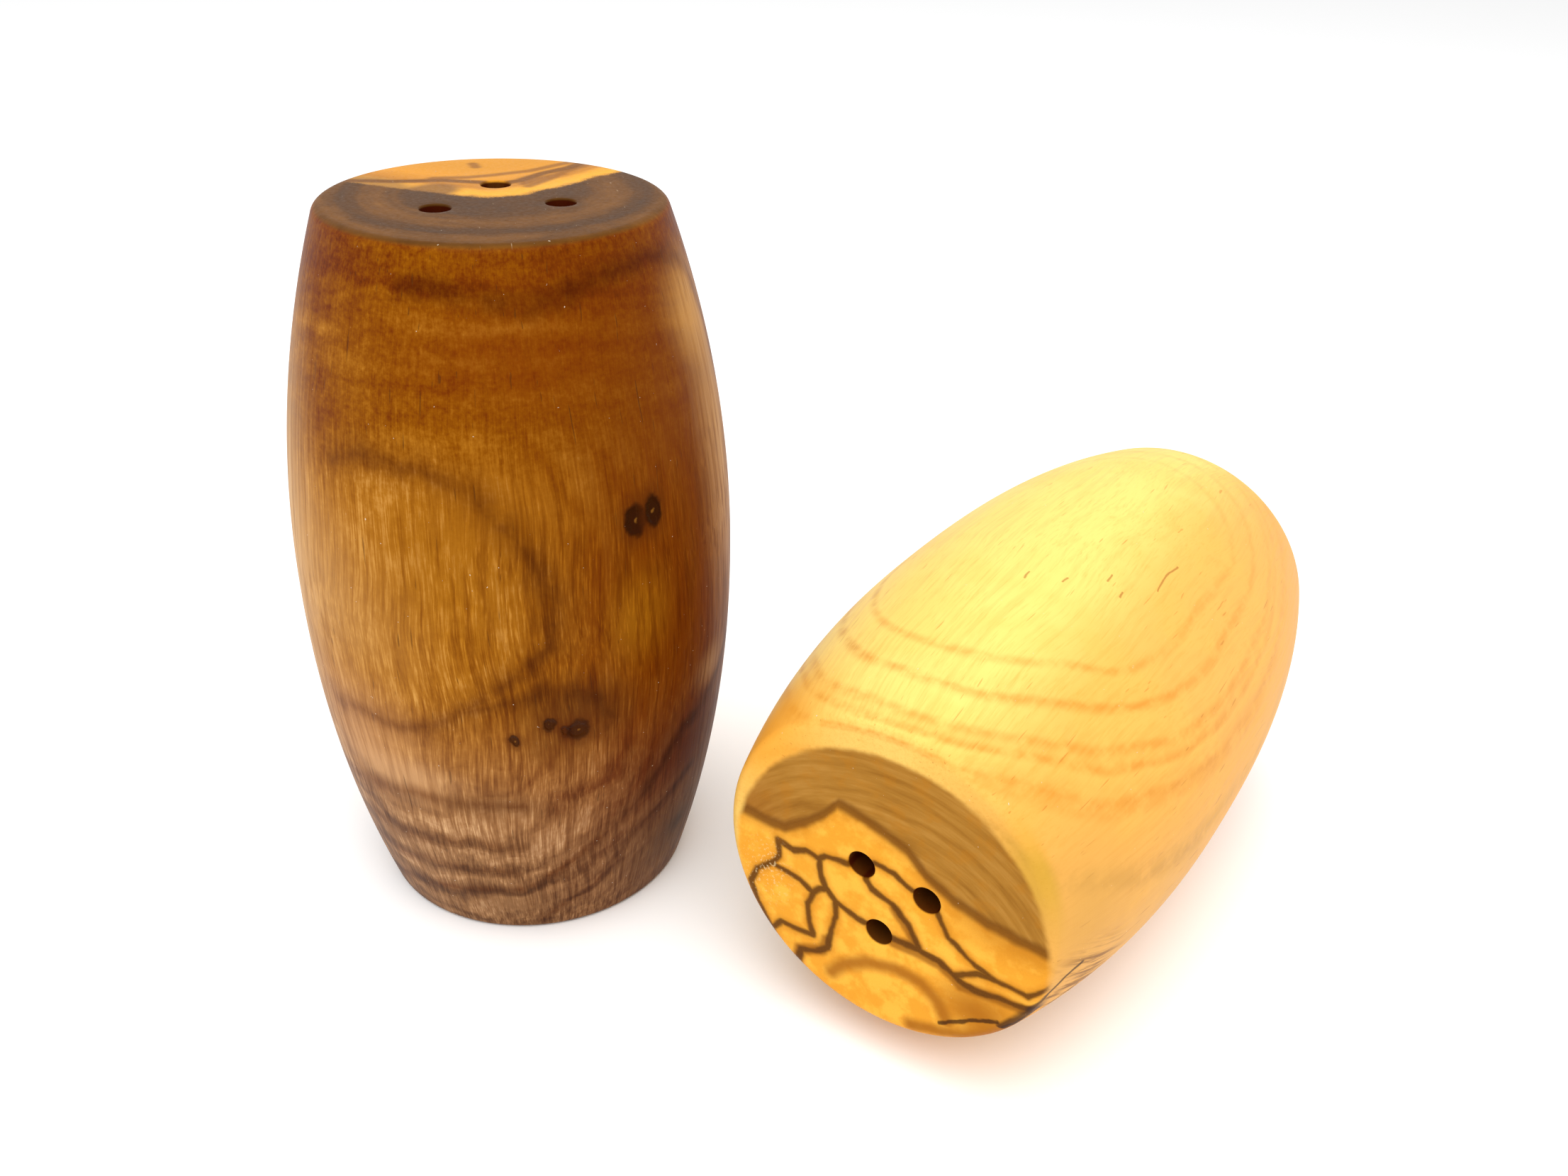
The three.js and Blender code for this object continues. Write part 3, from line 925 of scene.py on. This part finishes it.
# The wavy lower edge of the grey heartwood on the top face, as (x, y). A ramp holds only 0 to 1,
# so the y it carries is lifted and divided by a span first.
EDGE_LIFT = 2.0
EDGE_SPAN = 10.0
GREY_EDGE = [
    (-18.0, 1.4), (-16.5, 1.8), (-14.0, 1.6), (-11.5, 1.8), (-8.9, 3.7), (-7.0, 5.5),
    (-5.5, 7.5), (-2.9, 7.2), (0.1, 6.3), (2.3, 5.5), (4.5, 3.6), (7.5, 2.1),
    (11.2, 1.2), (15.0, 0.9), (18.0, 0.7),
]  # fmt: skip
# The dark veins of the top face, as (x, y) points along each.
VEINS = [
    [(-12.2, -0.4), (-10.4, -0.8), (-8.9, -0.1), (-7.4, -0.4), (-6.6, 0.3), (-4.0, 0.7),
     (-2.5, 1.2), (-1.0, 2.2), (1.2, 2.0), (2.7, 1.2), (4.8, 0.4), (6.0, -0.4), (7.5, -2.7),
     (10.5, -4.7), (13.1, -5.3), (16.1, -5.3), (18.0, -3.6)],
    [(-2.2, 0.2), (-1.0, -1.2), (1.2, -1.9), (3.1, -3.4), (4.5, -5.7)],
    [(-5.1, -4.9), (-2.5, -5.7), (0.0, -6.1), (4.0, -6.0), (6.8, -6.2), (9.0, -7.4),
     (10.8, -7.8), (13.5, -7.2), (17.0, -7.0)],
    [(-13.0, -3.8), (-11.5, -3.9), (-9.4, -4.2), (-7.7, -5.1), (-7.0, -4.2), (-6.3, -3.8),
     (-5.1, -4.9)],
    [(-13.0, -3.8), (-14.6, -5.3), (-15.4, -7.5), (-14.5, -9.8), (-12.6, -12.6), (-12.2, -14.0)],
    [(-12.2, -0.4), (-12.0, -2.3), (-13.0, -3.8)],
    [(-7.3, -0.3), (-7.0, -2.3), (-6.4, -3.8)],
    [(-7.7, -5.1), (-8.3, -6.8), (-8.1, -9.0), (-7.6, -10.9)],
    [(-5.1, -4.9), (-5.0, -6.8), (-5.5, -9.8), (-5.7, -11.6), (-7.0, -12.7), (-8.9, -13.5),
     (-9.3, -16.0)],
    [(-12.6, -12.4), (-11.4, -11.1), (-7.6, -10.9)],
    [(8.6, -7.0), (10.9, -5.5), (13.0, -5.3)],
]  # fmt: skip
# The stretches where the brown round a vein is broad.
BROAD_VEINS = [
    [(1.6, -2.4), (3.3, -4.2), (4.3, -5.6), (1.5, -6.6)],
    [(1.5, -6.6), (7.0, -6.6), (9.3, -8.0), (13.0, -7.5), (17.0, -7.2)],
    [(-5.9, -10.6), (-6.3, -12.2), (-9.0, -13.6), (-9.4, -15.5)],
]
# The broad soft arc low on the top face, and the crack beside it.
SOFT_ARC = [
    [(-5.0, -14.6), (-3.7, -12.7), (-1.0, -10.9), (2.3, -9.9), (5.2, -10.1), (7.2, -11.6),
     (8.4, -13.6)],
    [(4.5, -16.4), (10.5, -14.2), (15.0, -10.8)],
]  # fmt: skip
CRACKS = [
    [(7.6, -14.1), (9.5, -12.9), (11.2, -11.6), (13.6, -10.4)],
    [(14.2, -10.9), (16.2, -8.4), (17.6, -6.0)],
]

# The splits and the fine scratches in the side, as (azimuth, height) points along each.
SPLITS = [
    [(-38, 76.85), (-30, 76.8), (-22, 76.6), (-16, 76.0), (-11, 74.6), (-8, 72.5)],
    [(-28, 73.0), (-24, 70.0)],
]
SCRATCHES = [
    [(61.2, 41.6), (61.9, 38.4), (61.3, 35.2)],
    [(72.0, 45.8), (72.3, 44.5)],
    [(67.0, 47.0), (67.3, 46.0)],
    [(80.2, 50.0), (80.0, 49.0)],
    [(88.8, 51.8), (89.1, 50.5)],
]


# The grey-brown heartwood's colours, as (how light its soft streaks make it, colour).
GREY_HEART_TONES = [
    (0.3, (0.23, 0.095, 0.01)),
    (0.5, (0.335, 0.155, 0.022)),
    (0.7, (0.43, 0.215, 0.042)),
]


def light_sapwood(s, p, x, y, z, body, grain, growth):
    """Pale wood with faint rings that fade towards the base, patches, pores and wavy dark streaks
    low on the side; its scratches are added after.
    """
    ring = s.ramp(about(s, growth, s.noise(p, 0.07, 1.0), 0.8), LIGHT_RINGS)
    ring = s.times(ring, s.fit(z, 12.0, 55.0, 0.35, 1.0))
    ring = s.times(ring, s.fit(grain.streak, 0.35, 0.65, 0.7, 1.0))
    ring = s.times(ring, s.fit(grain.mottle, 0.36, 0.56, 0.35, 1.0))
    # Painted light and shade: the sapwood is a deeper orange towards +X, the side that gets less
    # light, and paler towards -X and over the top; the cloud only breaks up the edge between them.
    pale = s.smooth(about(s, x, grain.cloud, 6.0), 14.0, 2.0)
    sap = s.mix(pale, (0.78, 0.4, 0.088), (0.86, 0.61, 0.16))
    under = s.spot(p, on_side(body, -12, 60), (15.0, 15.0, 24.0))
    sap = s.tint(sap, under, 0.6, (0.6, 0.38, 0.15))
    sap = s.tint(sap, s.smooth(grain.cloud, 0.4, 0.65), 0.25, (0.84, 0.46, 0.08))
    sap = s.tint(sap, s.smooth(growth, 31.0, 27.0), 0.35, (0.7, 0.31, 0.05))
    shade = s.mix(s.smooth(growth, 26.5, 28.0), (0.4, 0.2, 0.035), (0.52, 0.175, 0.012))
    sap = s.tint(sap, ring, 0.68, shade)
    sap = s.tint(sap, s.smooth(grain.streak, 0.46, 0.66), 0.15, (0.58, 0.24, 0.025))
    sap = s.tint(sap, s.smooth(grain.fine, 0.5, 0.75), 0.25, (0.62, 0.27, 0.03))
    orange = s.spot(p, on_side(body, 142, 76), (11.0, 11.0, 13.0))
    sap = s.tint(sap, orange, 0.8, (0.8, 0.32, 0.025))
    sap = s.tint(sap, grain.pores, 0.4, (0.36, 0.11, 0.008))
    bronze = s.spot(p, on_side(body, 12, 73), (12.0, 12.0, 11.0))
    sap = s.tint(sap, bronze, 0.6, (0.55, 0.29, 0.07))
    # Wavy dark streaks low on the side, under the top's edge.
    wavy = arcs_of(s, growth, x, s.math("SUBTRACT", y, LIGHT_PITH[1]), 1.7)
    low_side = s.smooth(s.spot(p, on_side(body, -26, 72), (11.0, 11.0, 11.0)), 0.0, 0.5)
    low_side = s.times(low_side, s.smooth(wavy, 0.44, 0.6))
    return s.tint(sap, low_side, 0.85, (0.2, 0.075, 0.014))


def heart_plane(s, p, below):
    """The heartwood's own plane, which follows its lean and wanders more the deeper it goes."""
    drift = s.vector("SCALE", s.wander(p, 0.06, 1.0), scale=s.times(below, 0.16))
    shifted = s.vector("ADD", s.vector("ADD", p, s.wander(p, 0.5, 0.5, 2.0)), drift)
    x, y, _ = s.split(shifted)
    y = s.math("MULTIPLY_ADD", below, HEART_LEAN, y)
    return s.join(x, y, 0.0), x, y


def grey_heart(s, plane, grain, arcs):
    """Grey-brown heartwood, with soft streaks along the rings."""
    grey = s.ramp(arcs, GREY_HEART_TONES, "LINEAR")
    grey = s.tint(grey, s.smooth(grain.mottle, 0.5, 0.7), 0.4, (0.4, 0.15, 0.008))
    left = s.spot(plane, (-17.0, 2.5, 0.0), (9.0, 7.0, 1.0))
    return s.tint(grey, left, 0.55, (0.26, 0.085, 0.006))


def golden_heart(s, plane, grain, above):
    """Golden heartwood with clouds, a broad arc and veins, and where the veins are densest."""
    gold = s.mix(s.smooth(grain.mottle, 0.38, 0.62), (0.93, 0.46, 0.052), (0.8, 0.34, 0.026))
    arc = s.smooth(line_distance(s, SOFT_ARC, plane), 1.5, 0.1)
    gold = s.tint(gold, arc, 0.85, (0.3, 0.092, 0.003))
    right = s.spot(plane, (11.5, -10.5, 0.0), (8.0, 5.5, 1.0))
    gold = s.tint(gold, right, 0.95, (0.36, 0.115, 0.003))
    wedge = s.spot(plane, (14.0, -0.5, 0.0), (12.0, 3.5, 1.0))
    gold = s.tint(gold, wedge, 0.55, (0.48, 0.175, 0.008))
    vein = about(s, line_distance(s, VEINS, plane), grain.mottle, 0.45)
    gold = s.tint(gold, s.smooth(vein, 1.3, 0.2), 0.5, (0.42, 0.14, 0.004))
    broad = s.smooth(line_distance(s, BROAD_VEINS, plane), 1.0, 0.3)
    gold = s.tint(gold, broad, 0.72, (0.2, 0.06, 0.002))
    core = s.smooth(vein, 0.58, 0.15)
    gold = s.tint(gold, core, 0.94, (0.06, 0.018, 0.001))
    gold = s.tint(gold, s.smooth(above, -2.8, -0.2), 0.5, (0.4, 0.135, 0.004))
    return gold, core


def light_wood(body):
    s = Shader("light_wood")
    p = s.point_mm()
    grain = Grain(s, p)
    q = s.vector("ADD", p, s.wander(p, 0.035, 1.3))
    q = s.vector("ADD", q, s.wander(p, 0.2, 0.12))
    x, y, z = s.split(q)
    below = s.math("SUBTRACT", body["height"], s.split(p)[2])
    on_top = s.smooth(below, 2.0, 0.6)
    growth = s.vector("DISTANCE", s.join(x, y, 0.0), (*LIGHT_PITH, 0.0))
    arcs = arcs_of(s, growth, x, s.math("SUBTRACT", y, LIGHT_PITH[1]), 0.9)

    sap = light_sapwood(s, p, x, y, z, body, grain, growth)
    skin = unrolled(s, s.vector("ADD", p, s.wander(p, 0.5, 0.5)))
    scratch = s.smooth(line_distance(s, rolled_out(SCRATCHES), skin), 0.17, 0.05)
    sap = s.tint(sap, scratch, 0.6, (0.24, 0.08, 0.01))

    # The two heartwoods meet in a dark line, above which is the grey one.
    plane, across, up = heart_plane(s, p, below)
    edge = s.ramp(across, [(u, (v + EDGE_LIFT) / EDGE_SPAN) for u, v in GREY_EDGE], "LINEAR")
    above = s.math("SUBTRACT", up, s.math("MULTIPLY_ADD", edge, EDGE_SPAN, -EDGE_LIFT))
    grey = grey_heart(s, plane, grain, arcs)
    gold, core = golden_heart(s, plane, grain, above)
    wood = s.mix(s.smooth(above, -0.4, 0.5), gold, grey)
    line = s.smooth(s.math("ABSOLUTE", s.math("ADD", above, 0.1)), 1.15, 0.2)
    wood = s.tint(wood, line, 0.85, (0.105, 0.032, 0.002))
    wood = s.tint(wood, grain.fine, 0.3, (0.35, 0.12, 0.01))
    cracks = s.smooth(about(s, line_distance(s, CRACKS, plane), grain.mottle, 0.8), 0.32, 0.08)
    wood = s.tint(wood, cracks, 0.85, (0.03, 0.006, 0.001))

    # The heartwood in its ring of sapwood, painted shade on the rim beside it as an olive patch,
    # and the splits in the side.
    painted_rim_shade = s.times(s.spot(plane, (15.5, 9.0, 0.0), (7.0, 9.0, 1.0)), on_top)
    sap = s.tint(sap, painted_rim_shade, 0.6, (0.46, 0.27, 0.02))
    reach = s.vector("DISTANCE", plane, (*HEART_CENTRE, 0.0))
    heart = s.smooth(reach, HEART_RADIUS + HEART_BLUR, HEART_RADIUS - HEART_BLUR)
    colour = s.mix(heart, sap, wood)
    split = s.smooth(line_distance(s, rolled_out(SPLITS), skin), 0.42, 0.12)
    outer = s.vector("LENGTH", s.vector("MULTIPLY", p, (1, 1, 0)))
    split = s.times(split, s.smooth(outer, 17.0, 17.5))
    colour = s.tint(colour, split, 0.85, (0.03, 0.008, 0.002))

    # Pale residue left of the holes.
    residue = s.spot(plane, (-13.5, -5.0, 0.0), (4.5, 6.5, 1.0))
    residue = s.times(residue, s.smooth(s.noise(p, 2.6, 3.0, 0.7), 0.55, 0.66))
    colour = s.tint(colour, residue, 0.5, (0.86, 0.66, 0.34))
    # Painted shade inside the sprinkle holes.
    colour = painted_hole_shade(s, p, body, colour)
    return satin(s, grain, colour, s.times(heart, core))


def stopper_rubber():
    s = Shader("stopper_rubber")
    p = s.point_mm()
    speckle = s.noise(p, 9.0, 3.0, 0.7)
    cloud = s.noise(p, 0.5, 2.0)
    dust = s.smooth(s.noise(p, 3.0, 4.0, 0.7), 0.6, 0.72)
    colour = s.mix(s.smooth(cloud, 0.35, 0.65), (0.026, 0.025, 0.024), (0.036, 0.034, 0.032))
    colour = s.tint(colour, dust, 0.25, (0.16, 0.14, 0.12))
    rough = s.fit(speckle, 0.3, 0.7, 0.52, 0.68)
    return s.finish(colour, rough, speckle, 0.02, IOR=1.45)


# ---- Pieces ----


def put_in_place(body, place):
    """Makes a shaker's two pieces at a place, and hands each its CAD node and body."""
    name = body["name"]
    wood = body["wood"](body)
    pieces = [
        (wood_surface(body), "turned_wood", f"{name}_body", name, body["slot"], wood),
        (stopper_surface(), "plug", f"{name}_stopper", body["plug"], "stopper_rubber", rubber),
    ]
    for surface, label, node, rider, slot, finish in pieces:
        piece = surface.piece(f"{name}_{label}", finish, place)
        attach(piece, rider)
        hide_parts(node)


rubber = stopper_rubber()

low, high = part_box("dark_shaker_body")
DARK.update(
    height=(high.z - low.z) / MM,
    belly_radius=(high.x - low.x) / 2 / MM,
    wood=dark_wood,
    slot="dark_wood",
    plug="dark_stopper",
)
base = ((low.x + high.x) / 2, (low.y + high.y) / 2, low.z)
put_in_place(DARK, Matrix.Translation(base))

# The light shaker lies with its base towards +Y.
low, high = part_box("light_shaker_body")
LIGHT.update(
    height=(high.y - low.y) / MM,
    belly_radius=(high.x - low.x) / 2 / MM,
    wood=light_wood,
    slot="light_wood",
    plug="light_stopper",
)
lying = Matrix.Rotation(radians(90), 4, "X")
base = ((low.x + high.x) / 2, high.y, (low.z + high.z) / 2)
put_in_place(LIGHT, Matrix.Translation(base) @ lying)

# ---- Stage, light and camera, in metres ----

FLOOR_HALF = 3.0
FLOOR_COLOUR = (0.95, 0.95, 0.95, 1)
ROOM_STRENGTH = 0.92
SOFTBOX_PLACE = (0.12, -0.22, 0.66)
SOFTBOX_SIZE = 0.7
SOFTBOX_POWER = 4.6
CAMERA_PLACE = (0.07279, -0.12195, 0.11494)
CAMERA_HEADING = radians(32.62)
CAMERA_PITCH = radians(29.82)  # how far it looks down
CAMERA_ROLL = radians(2.0)
CAMERA_LENS_MM = 31.56
CAMERA_SENSOR_MM = 36.0
CAMERA_NEAREST = 0.01


def floor():
    """A wide, plain, pale floor."""
    mesh = bpy.data.meshes.new("floor")
    half = FLOOR_HALF
    corners = [(-half, -half, 0), (half, -half, 0), (half, half, 0), (-half, half, 0)]
    mesh.from_pydata(corners, [], [(0, 1, 2, 3)])
    s = Shader("pale_floor")
    s.add("OutputMaterial", {0: s.add("BsdfDiffuse", {"Color": FLOOR_COLOUR})})
    mesh.materials.append(s.material)
    made = bpy.data.objects.new("floor", mesh)
    bpy.context.scene.collection.objects.link(made)


def softbox():
    """A square light overhead, facing the shakers."""
    light = bpy.data.lights.new("overhead", "AREA")
    light.size = SOFTBOX_SIZE
    light.energy = SOFTBOX_POWER
    made = bpy.data.objects.new("overhead", light)
    made.location = SOFTBOX_PLACE
    made.rotation_euler = (-Vector(SOFTBOX_PLACE)).to_track_quat("-Z", "Y").to_euler()
    bpy.context.scene.collection.objects.link(made)


def surroundings():
    """An even white room."""
    world = bpy.data.worlds.new("white_room")
    world.use_nodes = True
    background = world.node_tree.nodes["Background"]
    background.inputs["Color"].default_value = (1, 1, 1, 1)
    background.inputs["Strength"].default_value = ROOM_STRENGTH
    bpy.context.scene.world = world


def camera():
    """A phone's wide lens, close above the shakers and a little rolled."""
    lens = bpy.data.cameras.new("camera")
    lens.sensor_width = CAMERA_SENSOR_MM
    lens.lens = CAMERA_LENS_MM
    lens.clip_start = CAMERA_NEAREST
    made = bpy.data.objects.new("camera", lens)
    turn = Matrix.Rotation(CAMERA_HEADING, 4, "Z")
    turn = turn @ Matrix.Rotation(pi / 2 - CAMERA_PITCH, 4, "X")
    turn = turn @ Matrix.Rotation(CAMERA_ROLL, 4, "Z")
    made.matrix_world = Matrix.Translation(CAMERA_PLACE) @ turn
    bpy.context.scene.collection.objects.link(made)
    bpy.context.scene.camera = made


floor()
surroundings()
softbox()
camera()
bpy.context.scene.view_settings.view_transform = "Standard"
